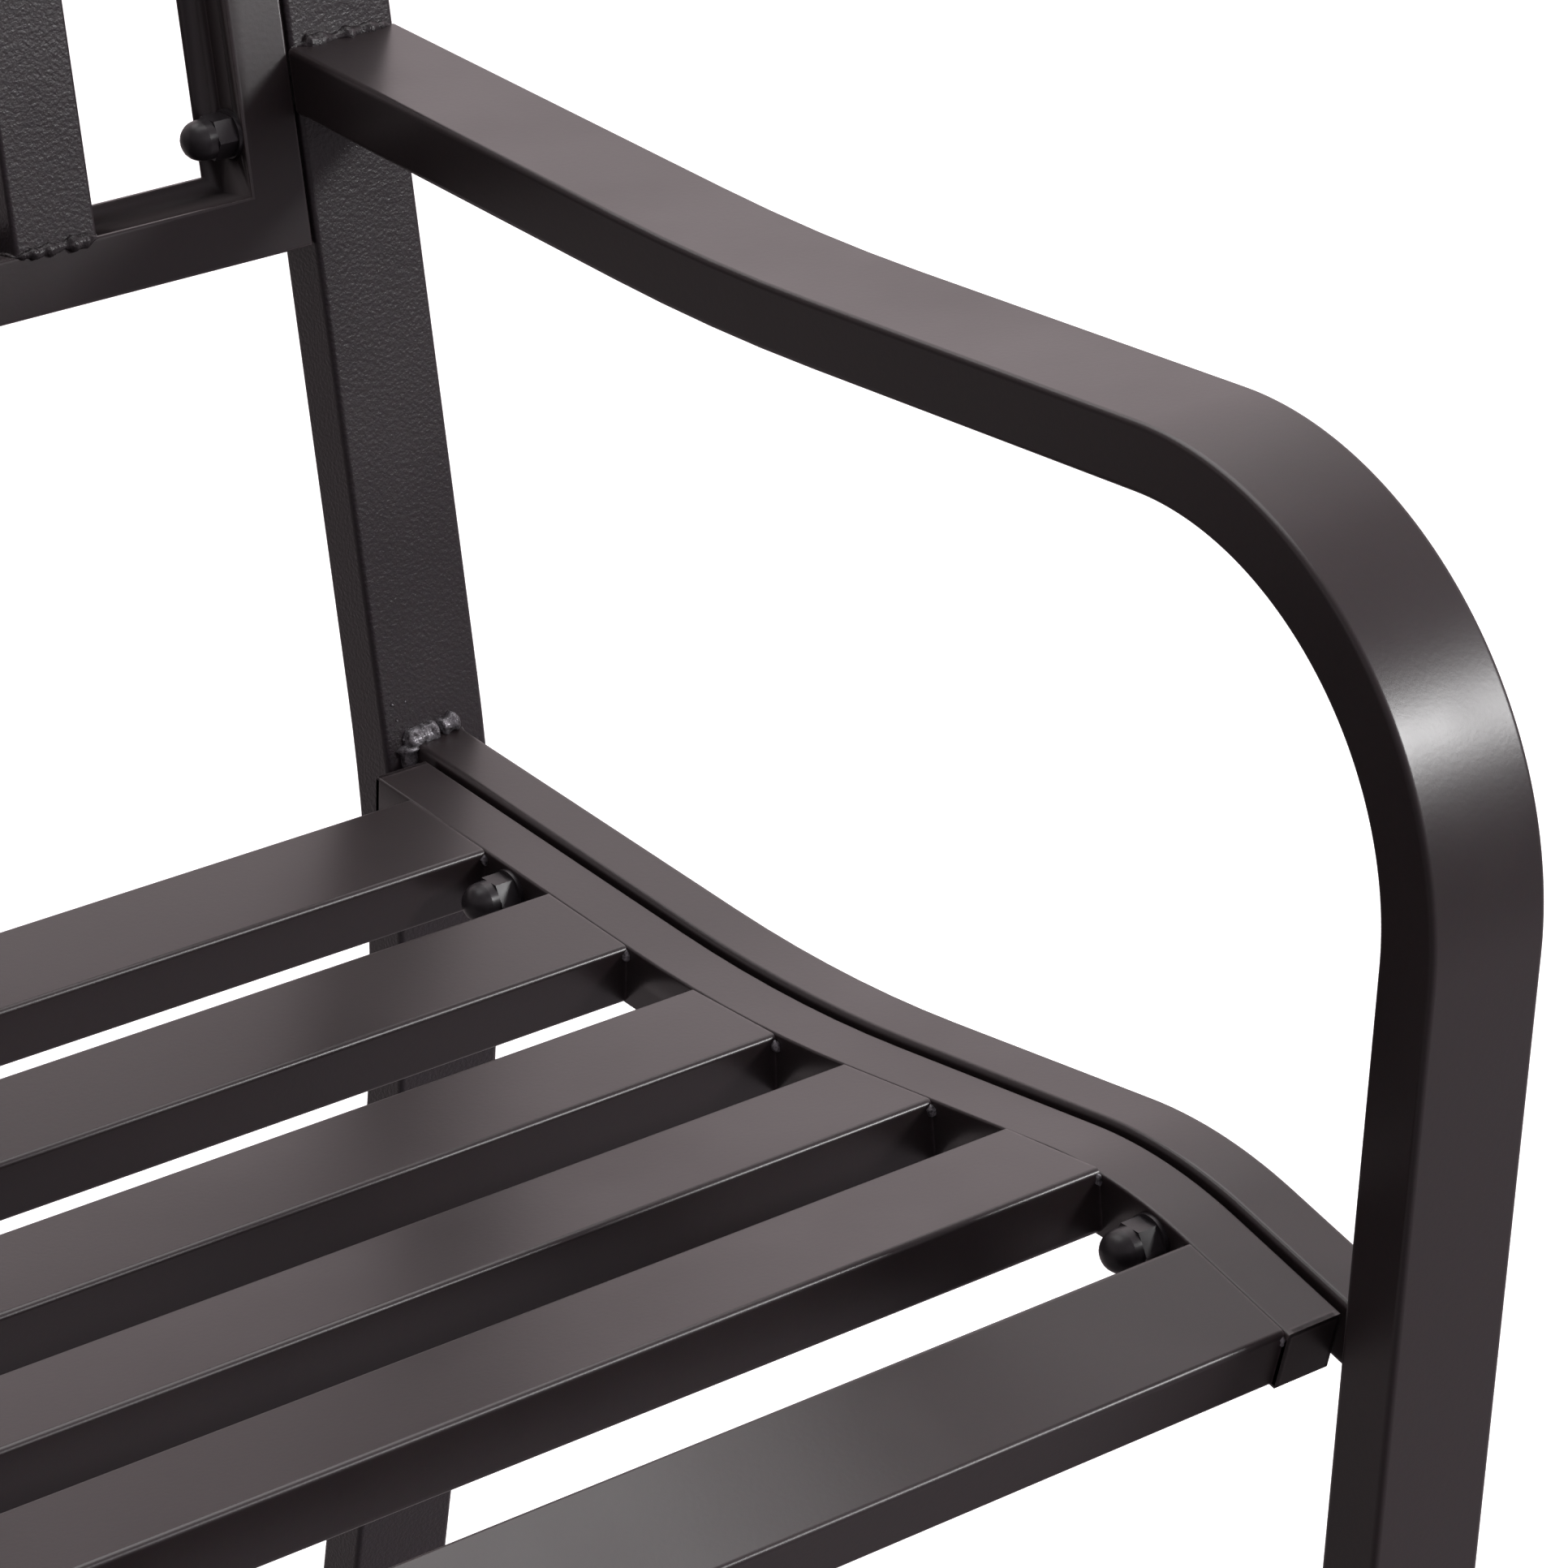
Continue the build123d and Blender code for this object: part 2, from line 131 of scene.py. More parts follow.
# ---- finishes ----
def powder_coat(name, base, patch, edge, grain_mm, grain_depth_mm, roughness, roughness_swing):
    """Polyester powder coat baked on steel: dark, with a soft sheen that breaks up over its orange peel.
    Along rounded edges its colour is painted paler in speckles: a painted highlight for the light that
    edges catch."""
    patch_size, speckle_size, edge_highlight_radius = 90 * MM, 2.2 * MM, 1.6 * MM
    material = new_material(name)
    tree = material.node_tree
    place = add_node(tree, "ShaderNodeTexCoord").outputs["Object"]
    drift = add_node(tree, "ShaderNodeTexNoise", inputs={
        "Vector": place, "Scale": 1 / patch_size, "Detail": 3.0, "Roughness": 0.55})
    speckle = add_node(tree, "ShaderNodeTexNoise", inputs={
        "Vector": place, "Scale": 1 / speckle_size, "Detail": 2.0})
    peel = add_node(tree, "ShaderNodeTexNoise", inputs={
        "Vector": place, "Scale": 1 / (grain_mm * MM), "Detail": 2.5, "Roughness": 0.5})
    colour = add_node(tree, "ShaderNodeMix", {"data_type": "RGBA"}, {
        "Factor": drift.outputs["Fac"], 6: linear(base), 7: linear(patch)})
    speckled = add_node(tree, "ShaderNodeMix", {"data_type": "RGBA", "blend_type": "OVERLAY"}, {
        "Factor": 0.18, 6: colour.outputs[2], 7: speckle.outputs["Color"]})
    # Painted highlight: along rounded edges the colour is lifted, in speckles, towards the paler edge
    # colour, standing in for the light that edges catch.
    rounded = add_node(tree, "ShaderNodeBevel", {"samples": 6}, {"Radius": edge_highlight_radius})
    flat = add_node(tree, "ShaderNodeNewGeometry")
    agreement = add_node(tree, "ShaderNodeVectorMath", {"operation": "DOT_PRODUCT"}, {
        0: rounded.outputs["Normal"], 1: flat.outputs["Normal"]})
    on_edge = add_node(tree, "ShaderNodeMapRange", inputs={
        "Value": agreement.outputs["Value"], "From Min": 0.995, "From Max": 0.9})
    painted_edge_highlight = add_node(tree, "ShaderNodeMath", {"operation": "MULTIPLY"}, {
        0: on_edge.outputs["Result"], 1: speckle.outputs["Fac"]})
    edged = add_node(tree, "ShaderNodeMix", {"data_type": "RGBA"}, {
        "Factor": painted_edge_highlight.outputs["Value"], 6: speckled.outputs[2], 7: linear(edge)})
    gloss = add_node(tree, "ShaderNodeMapRange", inputs={
        "Value": drift.outputs["Fac"], "From Min": 0.3, "From Max": 0.7,
        "To Min": roughness - roughness_swing, "To Max": roughness + roughness_swing})
    bump = add_node(tree, "ShaderNodeBump", inputs={
        "Height": peel.outputs["Fac"], "Strength": 1.0, "Distance": grain_depth_mm * MM})
    coat = add_node(tree, "ShaderNodeBsdfPrincipled", inputs={
        "Base Color": edged.outputs[2], "Roughness": gloss.outputs["Result"],
        "Normal": bump.outputs["Normal"], "IOR": 1.5, "Specular IOR Level": 0.6,
        "Sheen Weight": 0.04, "Sheen Roughness": 0.4})
    output = add_node(tree, "ShaderNodeOutputMaterial")
    tree.links.new(coat.outputs["BSDF"], output.inputs["Surface"])
    return material


# In both coats, edge is the colour of the painted highlight laid along rounded edges.
satin_coat = powder_coat(
    "satin_powder_coat", base="1d1819", patch="2b2223", edge="5d5556",
    grain_mm=1.6, grain_depth_mm=0.022, roughness=0.33, roughness_swing=0.05)
textured_coat = powder_coat(
    "fine_texture_powder_coat", base="1d181c", patch="2a2326", edge="5a565a",
    grain_mm=1.3, grain_depth_mm=0.2, roughness=0.36, roughness_swing=0.05)


def gloss_fastener():
    """Black-passivated steel under clear lacquer: nearly black, with small hard highlights."""
    material = new_material("black_lacquered_steel")
    tree = material.node_tree
    place = add_node(tree, "ShaderNodeTexCoord").outputs["Object"]
    marks = add_node(tree, "ShaderNodeTexNoise", inputs={
        "Vector": place, "Scale": 1 / (3.5 * MM), "Detail": 3.0})
    colour = add_node(tree, "ShaderNodeMix", {"data_type": "RGBA"}, {
        "Factor": marks.outputs["Fac"], 6: linear("1a181a"), 7: linear("2e2b2e")})
    gloss = add_node(tree, "ShaderNodeMapRange", inputs={
        "Value": marks.outputs["Fac"], "To Min": 0.3, "To Max": 0.46})
    bump = add_node(tree, "ShaderNodeBump", inputs={
        "Height": marks.outputs["Fac"], "Distance": 0.05 * MM})
    metal = add_node(tree, "ShaderNodeBsdfPrincipled", inputs={
        "Base Color": colour.outputs[2], "Roughness": gloss.outputs["Result"],
        "Normal": bump.outputs["Normal"], "IOR": 1.5, "Specular IOR Level": 0.35,
        "Coat Weight": 0.15, "Coat Roughness": 0.3})
    output = add_node(tree, "ShaderNodeOutputMaterial")
    tree.links.new(metal.outputs["BSDF"], output.inputs["Surface"])
    return material


def moulded_plastic():
    """Injection-moulded polypropylene: matt black, with the fine grain of a spark-eroded mould."""
    material = new_material("moulded_black_plastic")
    tree = material.node_tree
    place = add_node(tree, "ShaderNodeTexCoord").outputs["Object"]
    grain = add_node(tree, "ShaderNodeTexNoise", inputs={
        "Vector": place, "Scale": 1 / (0.8 * MM), "Detail": 2.0})
    colour = add_node(tree, "ShaderNodeMix", {"data_type": "RGBA"}, {
        "Factor": grain.outputs["Fac"], 6: linear("141414"), 7: linear("232224")})
    gloss = add_node(tree, "ShaderNodeMapRange", inputs={
        "Value": grain.outputs["Fac"], "To Min": 0.5, "To Max": 0.7})
    bump = add_node(tree, "ShaderNodeBump", inputs={
        "Height": grain.outputs["Fac"], "Distance": 0.06 * MM})
    plastic = add_node(tree, "ShaderNodeBsdfPrincipled", inputs={
        "Base Color": colour.outputs[2], "Roughness": gloss.outputs["Result"],
        "Normal": bump.outputs["Normal"], "IOR": 1.49})
    output = add_node(tree, "ShaderNodeOutputMaterial")
    tree.links.new(plastic.outputs["BSDF"], output.inputs["Surface"])
    return material


def weld_metal(name, coated, bare, bare_from, bare_to, metallic):
    """A weld bead: its ripples shed powder, so that grey shows through the bronze black in patches."""
    material = new_material(name)
    tree = material.node_tree
    place = add_node(tree, "ShaderNodeTexCoord").outputs["Object"]
    scale = add_node(tree, "ShaderNodeTexNoise", inputs={
        "Vector": place, "Scale": 1 / (2.4 * MM), "Detail": 3.0, "Roughness": 0.65})
    shed = add_node(tree, "ShaderNodeMapRange", inputs={
        "Value": scale.outputs["Fac"], "From Min": bare_from, "From Max": bare_to})
    colour = add_node(tree, "ShaderNodeMix", {"data_type": "RGBA"}, {
        "Factor": shed.outputs["Result"], 6: linear(coated), 7: linear(bare)})
    gloss = add_node(tree, "ShaderNodeMapRange", inputs={
        "Value": scale.outputs["Fac"], "To Min": 0.42, "To Max": 0.24})
    bump = add_node(tree, "ShaderNodeBump", inputs={
        "Height": scale.outputs["Fac"], "Distance": 0.6 * MM})
    bead_skin = add_node(tree, "ShaderNodeBsdfPrincipled", inputs={
        "Base Color": colour.outputs[2], "Roughness": gloss.outputs["Result"],
        "Metallic": metallic, "Normal": bump.outputs["Normal"]})
    output = add_node(tree, "ShaderNodeOutputMaterial")
    tree.links.new(bead_skin.outputs["BSDF"], output.inputs["Surface"])
    return material


lacquered_steel = gloss_fastener()
black_plastic = moulded_plastic()
coated_bead = weld_metal(
    "coated_weld_bead", coated="1f1b1d", bare="4a4648", bare_from=0.5, bare_to=0.75, metallic=0.0)
bare_bead = weld_metal(
    "bare_weld_bead", coated="3b393b", bare="8d8c90", bare_from=0.35, bare_to=0.6, metallic=0.45)


# ---- paths and sections ----
def crossing(point_a, angle_a, point_b, angle_b):
    """Where two lines cross in the side view. Angles are measured from +Y towards +Z."""
    along_a = Vector((cos(angle_a), sin(angle_a)))
    along_b = Vector((cos(angle_b), sin(angle_b)))
    gap = point_b - point_a
    reach = (gap.x * along_b.y - gap.y * along_b.x) / (along_a.x * along_b.y - along_a.y * along_b.x)
    return point_a + along_a * reach


def at_y(point, rise, y):
    """The point at y on a line that rises by that angle towards the back."""
    return Vector((y, point.y + (y - point.x) * tan(rise)))


def bent_path(corners, radii, step=radians(1.5)):
    """Side-view points of straight runs joined by round bends, one point for each small turn."""
    points = [corners[0]]
    for before, corner, after, radius in zip(corners, corners[1:], corners[2:], radii):
        coming = (corner - before).normalized()
        going = (after - corner).normalized()
        turn = atan2(coming.x * going.y - coming.y * going.x, coming.dot(going))
        side = 1 if turn > 0 else -1
        start = corner - coming * radius * tan(abs(turn) / 2)
        centre = start + Vector((-coming.y, coming.x)) * side * radius
        steps = max(2, round(abs(turn) / step))
        for number in range(steps + 1):
            points.append(centre + Matrix.Rotation(turn * number / steps, 2) @ (start - centre))
    points.append(corners[-1])
    return points


def round_corner(centre, radius, start, turn, steps=5):
    """Points round one corner of a section."""
    angles = [start + turn * number / steps for number in range(steps + 1)]
    return [(centre[0] + radius * cos(a), centre[1] + radius * sin(a)) for a in angles]


def rounded_section(width, depth, top_corner, foot_corner):
    """A closed section with round corners. Two close points by each corner keep the flats flat."""
    points = []
    corners = [(1, 1, top_corner, 0), (-1, 1, top_corner, pi / 2),
               (-1, -1, foot_corner, pi), (1, -1, foot_corner, 3 * pi / 2)]
    for side, upper, radius, start in corners:
        centre = (side * (width / 2 - radius), upper * (depth / 2 - radius))
        bend = round_corner(centre, radius, start, pi / 2)
        before = (bend[0][0] + smallest_lead * sin(start), bend[0][1] - smallest_lead * cos(start))
        after = (bend[-1][0] - smallest_lead * cos(start), bend[-1][1] - smallest_lead * sin(start))
        points += [before] + bend + [after]
    return points


def channel_section(width, height, corner, sheet):
    """An upside-down channel of folded sheet: round outside corners, open below."""
    half, top, foot = width / 2, height / 2, -height / 2
    right = round_corner((half - corner, top - corner), corner, 0, pi / 2)
    left = round_corner((-half + corner, top - corner), corner, pi / 2, pi / 2)
    flat_from = corner + smallest_lead
    outside = [(half, foot), (half, top - flat_from)] + right
    outside += [(half - flat_from, top), (-half + flat_from, top)]
    outside += left + [(-half, top - flat_from), (-half, foot)]
    inside = [(-half + sheet, foot), (-half + sheet, top - sheet)]
    inside += [(half - sheet, top - sheet), (half - sheet, foot)]
    return outside + inside


def wire_mesh(name, lines, closed=False):
    """An object of edges only, one chain for each list of points."""
    vertices, edges = [], []
    for points in lines:
        first = len(vertices)
        vertices += [tuple(point) for point in points]
        edges += [(first + i, first + i + 1) for i in range(len(points) - 1)]
        if closed:
            edges.append((len(vertices) - 1, first))
    mesh = bpy.data.meshes.new(name)
    mesh.from_pydata(vertices, edges, [])
    wire = bpy.data.objects.new(name, mesh)
    bpy.context.scene.collection.objects.link(wire)
    return wire


# ---- geometry node trees ----
def new_tree(name, sizes):
    """A geometry node tree with its input and output, and its named inputs."""
    tree = bpy.data.node_groups.new(name, "GeometryNodeTree")
    tree.interface.new_socket("Geometry", in_out="INPUT", socket_type="NodeSocketGeometry")
    for label, kind in sizes.items():
        tree.interface.new_socket(label, in_out="INPUT", socket_type=kind)
    tree.interface.new_socket("Geometry", in_out="OUTPUT", socket_type="NodeSocketGeometry")
    return tree, add_node(tree, "NodeGroupInput").outputs


def finish_tree(tree, geometry, finish):
    """Realises what the tree made, shades it smooth and gives it its material."""
    solid = add_node(tree, "GeometryNodeRealizeInstances", inputs={"Geometry": geometry})
    smooth = add_node(tree, "GeometryNodeSetShadeSmooth", inputs={"Geometry": solid.outputs[0]})
    painted = add_node(tree, "GeometryNodeSetMaterial", inputs={
        "Geometry": smooth.outputs[0], "Material": finish})
    add_node(tree, "NodeGroupOutput", inputs={0: painted.outputs[0]})
    return tree


def bar_tree():
    """A section carried along a path that lies in a plane of constant X, with closed ends."""
    tree, given = new_tree("bar_along_path", {
        "Section": "NodeSocketObject", "Finish": "NodeSocketMaterial"})
    path = add_node(tree, "GeometryNodeMeshToCurve", inputs={"Mesh": given["Geometry"]})
    facing = add_node(tree, "GeometryNodeSetCurveNormal", {"mode": "FREE"}, {
        "Curve": path.outputs["Curve"], "Normal": (1.0, 0.0, 0.0)})
    shape = add_node(tree, "GeometryNodeObjectInfo", inputs={"Object": given["Section"]})
    outline = add_node(tree, "GeometryNodeMeshToCurve", inputs={"Mesh": shape.outputs["Geometry"]})
    skin = add_node(tree, "GeometryNodeCurveToMesh", inputs={
        "Curve": facing.outputs["Curve"], "Profile Curve": outline.outputs["Curve"], "Fill Caps": True})
    return finish_tree(tree, skin.outputs["Mesh"], given["Finish"])


def bead_tree():
    """A lumpy weld bead along each path, thicker and thinner as the welder's hand moved."""
    tree, given = new_tree("weld_bead", {
        "Step": "NodeSocketFloat", "Ripple": "NodeSocketFloat", "Lump": "NodeSocketFloat",
        "Finish": "NodeSocketMaterial"})
    path = add_node(tree, "GeometryNodeMeshToCurve", inputs={"Mesh": given["Geometry"]})
    fine = add_node(tree, "GeometryNodeResampleCurve", {"mode": "LENGTH"}, {
        "Curve": path.outputs["Curve"], "Length": given["Step"]})
    size = add_node(tree, "GeometryNodeInputNamedAttribute", {"data_type": "FLOAT"}, {
        "Name": "bead_radius"})
    place = add_node(tree, "GeometryNodeInputPosition")
    swell = add_node(tree, "ShaderNodeTexNoise", inputs={
        "Vector": place.outputs[0], "Scale": 1 / (4 * MM), "Detail": 1.0})
    swell_by = add_node(tree, "ShaderNodeMapRange", inputs={
        "Value": swell.outputs["Fac"], "From Min": 0.3, "From Max": 0.7, "To Min": 0.6, "To Max": 1.35})
    along = add_node(tree, "GeometryNodeSplineParameter")
    to_middle = add_node(tree, "ShaderNodeMath", {"operation": "PINGPONG"}, {
        0: along.outputs["Factor"], 1: 0.5})
    ends = add_node(tree, "ShaderNodeMapRange", {"interpolation_type": "SMOOTHSTEP"}, {
        "Value": to_middle.outputs[0], "From Min": -0.04, "From Max": 0.16})
    swollen = add_node(tree, "ShaderNodeMath", {"operation": "MULTIPLY"}, {
        0: size.outputs["Attribute"], 1: swell_by.outputs["Result"]})
    tapered = add_node(tree, "ShaderNodeMath", {"operation": "MULTIPLY"}, {
        0: swollen.outputs[0], 1: ends.outputs["Result"]})
    ring = add_node(tree, "GeometryNodeCurvePrimitiveCircle", inputs={"Resolution": 10, "Radius": 1.0})
    skin = add_node(tree, "GeometryNodeCurveToMesh", inputs={
        "Curve": fine.outputs["Curve"], "Profile Curve": ring.outputs["Curve"],
        "Scale": tapered.outputs[0], "Fill Caps": True})
    lumps = add_node(tree, "ShaderNodeTexNoise", inputs={
        "Vector": place.outputs[0], "Scale": given["Ripple"], "Detail": 2.0})
    centred = add_node(tree, "ShaderNodeVectorMath", {"operation": "SUBTRACT"}, {
        0: lumps.outputs["Color"], 1: (0.5, 0.5, 0.5)})
    push = add_node(tree, "ShaderNodeVectorMath", {"operation": "SCALE"}, {
        0: centred.outputs["Vector"], "Scale": given["Lump"]})
    rough = add_node(tree, "GeometryNodeSetPosition", inputs={
        "Geometry": skin.outputs["Mesh"], "Offset": push.outputs["Vector"]})
    return finish_tree(tree, rough.outputs[0], given["Finish"])


def spatter_tree():
    """Small round drops of weld spatter scattered over a patch."""
    tree, given = new_tree("weld_spatter", {
        "Density": "NodeSocketFloat", "Smallest": "NodeSocketFloat", "Largest": "NodeSocketFloat",
        "Seed": "NodeSocketInt", "Finish": "NodeSocketMaterial"})
    points = add_node(tree, "GeometryNodeDistributePointsOnFaces", inputs={
        "Mesh": given["Geometry"], "Density": given["Density"], "Seed": given["Seed"]})
    drop = add_node(tree, "GeometryNodeMeshIcoSphere", inputs={"Radius": 1.0, "Subdivisions": 2})
    size = add_node(tree, "FunctionNodeRandomValue", {"data_type": "FLOAT"}, {
        2: given["Smallest"], 3: given["Largest"], "Seed": given["Seed"]})
    drops = add_node(tree, "GeometryNodeInstanceOnPoints", inputs={
        "Points": points.outputs["Points"], "Instance": drop.outputs["Mesh"],
        "Scale": size.outputs[1]})
    return finish_tree(tree, drops.outputs[0], given["Finish"])


def made_by(tree, source, name, sizes):
    """Runs a tree on an object and returns the result as a plain mesh object."""
    modifier = source.modifiers.new("maker", "NODES")
    modifier.node_group = tree
    sockets = {item.name: item.identifier for item in tree.interface.items_tree
               if item.in_out == "INPUT"}
    for label, value in sizes.items():
        modifier[sockets[label]] = value
    bpy.context.view_layer.update()
    seen = source.evaluated_get(bpy.context.evaluated_depsgraph_get())
    mesh = bpy.data.meshes.new_from_object(seen)
    mesh.name = name
    source.modifiers.clear()
    bpy.data.objects.remove(source)
    piece = bpy.data.objects.new(name, mesh)
    bpy.context.scene.collection.objects.link(piece)
    return piece


def settled(piece, slot, *nodes):
    """The piece rides with the bench and stands for its CAD nodes; its slot argument is not used."""
    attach(piece, "root")
    if nodes:
        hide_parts(*nodes)
    return piece


along_path, weld_bead, weld_spatter = bar_tree(), bead_tree(), spatter_tree()


def flat_section(name, points):
    """A closed section, drawn in its own X and Y."""
    return wire_mesh(name, [[(x, y, 0.0) for x, y in points]], closed=True)


def tube_outline(name, width, depth):
    """The outline of one of the bench's tubes."""
    return flat_section(name, rounded_section(width, depth, tube_corner, tube_corner))


bar_outline = channel_section(bar_width, tube_depth, bar_corner, bar_sheet)
flap_outline = rounded_section(bar_width, tube_depth, bar_corner, bar_foot_corner)
arm_section = tube_outline("arm_section", arm_width, arm_depth)
tube_section = tube_outline("tube_section", tube_width, tube_depth)
rail_section = tube_outline("rail_section", rail_width, tube_depth)
bar_section = flat_section("bar_section", bar_outline)
flap_section = flat_section("flap_section", flap_outline)


def carried(name, x, path, section, finish):
    """A bar with that section along a side-view path, at one value of X."""
    wire = wire_mesh(name + "_path", [[(x, point.x, point.y) for point in path]])
    return made_by(along_path, wire, name, {"Section": section, "Finish": finish})


def cut_back(piece, point, outward, along):
    """Slides what stands beyond a plane back onto it, along the bar."""
    for vertex in piece.data.vertices:
        beyond = (vertex.co - point).dot(outward)
        if beyond > 0:
            vertex.co -= along * (beyond / along.dot(outward))


# ---- side view of the bent tubes ----
front_foot = Vector((-half_depth + front_foot_setback, 0.0))
rear_foot = Vector((half_depth - rear_foot_setback, 0.0))
arm_dip = Vector((arm_dip_offset, arm_height - arm_depth / 2 - arm_dip_drop))
arm_corner = crossing(front_foot, pi / 2 + front_leg_tilt, arm_dip, -arm_front_rise)
hip = Vector((rear_foot.x - hip_height * tan(rear_leg_splay), hip_height))
up_the_post = Vector((sin(lean), cos(lean)))
post_front = Vector((-cos(lean), sin(lean)))
post_face = hip + post_front * tube_depth / 2
post_top = hip + up_the_post * ((post_high.z - tube_depth / 2 * sin(lean) - hip_height) / cos(lean))
arm_end = at_y(arm_dip, arm_rear_rise, hip.x + (arm_height - hip_height) * tan(lean))
arm_path = bent_path([front_foot, arm_corner, arm_dip, arm_end], arm_radii)
post_path = bent_path([rear_foot, hip, post_top], [hip_radius])

seat_hump = Vector((-half_depth + seat_hump_setback, seat_height - tube_depth / 2 + seat_hump_lift))
seat_hollow = at_y(seat_hump, -seat_rises[1], seat_hollow_y)
leg_at_seat = front_foot.x - seat_height * tan(front_leg_tilt)
rail_front = at_y(seat_hump, seat_rises[2], leg_at_seat)
rail_rear = at_y(seat_hollow, seat_rises[0], hip.x + tube_depth / 2)
rail_path = bent_path([rail_rear, seat_hollow, seat_hump, rail_front], seat_radii)
bar_rear_y = bar_high.y - tube_depth / 2 * sin(seat_rises[0])
bar_front_y = bar_low.y + tube_depth / 2 * sin(seat_rises[2])


def between(path, rear_y, front_y, drop):
    """The part of a path from back to front that lies between two values of Y, lowered by drop."""
    lowered = [point - Vector((0, drop)) for point in path]
    kept = [point for point in lowered if front_y < point.x < rear_y]
    before = max((p for p in lowered if p.x >= rear_y), key=lambda p: -p.x)
    after = min((p for p in lowered if p.x <= front_y), key=lambda p: -p.x)
    rear = before.lerp(kept[0], (before.x - rear_y) / (before.x - kept[0].x))
    front = kept[-1].lerp(after, (kept[-1].x - front_y) / (kept[-1].x - after.x))
    return [rear] + kept + [front]


def end_flap(name, x, end, inward):
    """The folded sheet that closes one end of an end bar."""
    return carried(name, x, [end, end + inward * bar_sheet], flap_section, satin_coat)


def joined(pieces):
    """Several meshes as the first one's object."""
    bpy.ops.object.select_all(action="DESELECT")
    for piece in pieces:
        piece.select_set(True)
    bpy.context.view_layer.objects.active = pieces[0]
    bpy.ops.object.join()
    return pieces[0]


def side_frame(side, x_sign):
    """The four bent bars at one end of the bench."""
    floor_cut = Vector((0.0, 0.0, floor_z + plug_base))
    arm = carried(f"arm_and_front_leg_{side}", x_sign * post_x, arm_path, arm_section, satin_coat)
    on_post = Vector((0.0, *post_face))
    facing_back = Vector((0.0, *(-post_front)))
    cut_back(arm, on_post, facing_back, Vector((0.0, cos(arm_rear_rise), sin(arm_rear_rise))))
    cut_back(arm, floor_cut, Vector((0, 0, -1)), Vector((0, sin(front_leg_tilt), -cos(front_leg_tilt))))
    settled(arm, "coated_steel", f"arm_front_leg_{side}")
    post = carried(f"post_and_rear_leg_{side}", x_sign * post_x, post_path, tube_section, textured_coat)
    cut_back(post, floor_cut, Vector((0, 0, -1)), Vector((0, sin(rear_leg_splay), -cos(rear_leg_splay))))
    settled(post, "coated_steel", f"back_post_{side}")
    rail = carried(f"curved_seat_rail_{side}", x_sign * rail_x, rail_path, rail_section, satin_coat)
    settled(rail, "coated_steel", f"seat_rail_{side}")
    bar_path = between(rail_path, bar_rear_y, bar_front_y, bar_drop)
    bar = carried(f"seat_end_channel_{side}", x_sign * bar_x, bar_path, bar_section, satin_coat)
    rear_in = (bar_path[1] - bar_path[0]).normalized()
    front_in = (bar_path[-2] - bar_path[-1]).normalized()
    rear_flap = end_flap(f"rear_flap_{side}", x_sign * bar_x, bar_path[0], rear_in)
    front_flap = end_flap(f"front_flap_{side}", x_sign * bar_x, bar_path[-1], front_in)
    settled(joined([bar, rear_flap, front_flap]), "coated_steel", f"seat_end_bar_{side}")


# ---- weld beads and spatter ----
coated_lines, coated_radii, bare_lines, bare_radii = [], [], [], []


def bead(points, radius, bare=False):
    """Notes one weld bead, to be made with all the others, and its mirror image."""
    lines, radii = (bare_lines, bare_radii) if bare else (coated_lines, coated_radii)
    for x_sign in (1, -1):
        lines.append([(x_sign * x, y, z) for x, y, z in points])
        radii.extend([radius] * len(points))


def beads_round_joint(corner_yz, radius, drop, slope):
    """A bare bead over the seat rail where it meets an upright, and down both of its sides."""
    past_side, side_gap, end_gap = 3 * MM, 1.5 * MM, 1 * MM
    low_rise, middle_rise, high_rise = 1 * MM, 1.5 * MM, 3.5 * MM
    inner, middle, outer = rail_low.x, rail_x + end_gap, rail_high.x
    y, z = corner_yz
    foot = (y + slope * drop, z - drop)
    bead([(inner - side_gap, *foot), (inner - side_gap, y, z)], radius * 0.9, bare=True)
    bead([(inner - past_side, y, z), (middle, y, z + middle_rise)], radius, bare=True)
    bead([(middle, y, z + low_rise), (outer - end_gap, y, z + high_rise)], radius * 0.8, bare=True)
    bead([(outer, *foot), (outer, y, z)], radius * 0.6)


def arm_beads():
    """The arm's end on the post: a bead above it and one below it."""
    upper_radius, lower_radius = 2.5 * MM, 1.6 * MM
    for side_of_arm, radius in ((1, upper_radius), (-1, lower_radius)):
        across = Vector((-sin(arm_rear_rise), cos(arm_rear_rise))) * side_of_arm * arm_depth / 2
        corner = crossing(arm_dip + across, arm_rear_rise, post_face, pi / 2 - lean)
        inner, outer = post_low.x + 0.5 * MM, post_high.x - 1 * MM
        bead([(inner, *corner), (post_x, *corner), (outer, *corner)], radius)


def rail_beads():
    """Both ends of the curved seat rail, on the post and on the leg."""
    rear_radius, front_radius, down_the_side = 3.8 * MM, 2.2 * MM, 12 * MM
    above = Vector((0, tube_depth / 2))
    rear = crossing(seat_hollow + above, seat_rises[0], post_face, pi / 2 - lean)
    beads_round_joint(rear, rear_radius, down_the_side, -tan(lean))
    leg_back = front_foot + Vector((cos(front_leg_tilt), sin(front_leg_tilt))) * arm_depth / 2
    front = crossing(seat_hump + above, seat_rises[2], leg_back, pi / 2 + front_leg_tilt)
    beads_round_joint(front, front_radius, down_the_side, tan(front_leg_tilt))


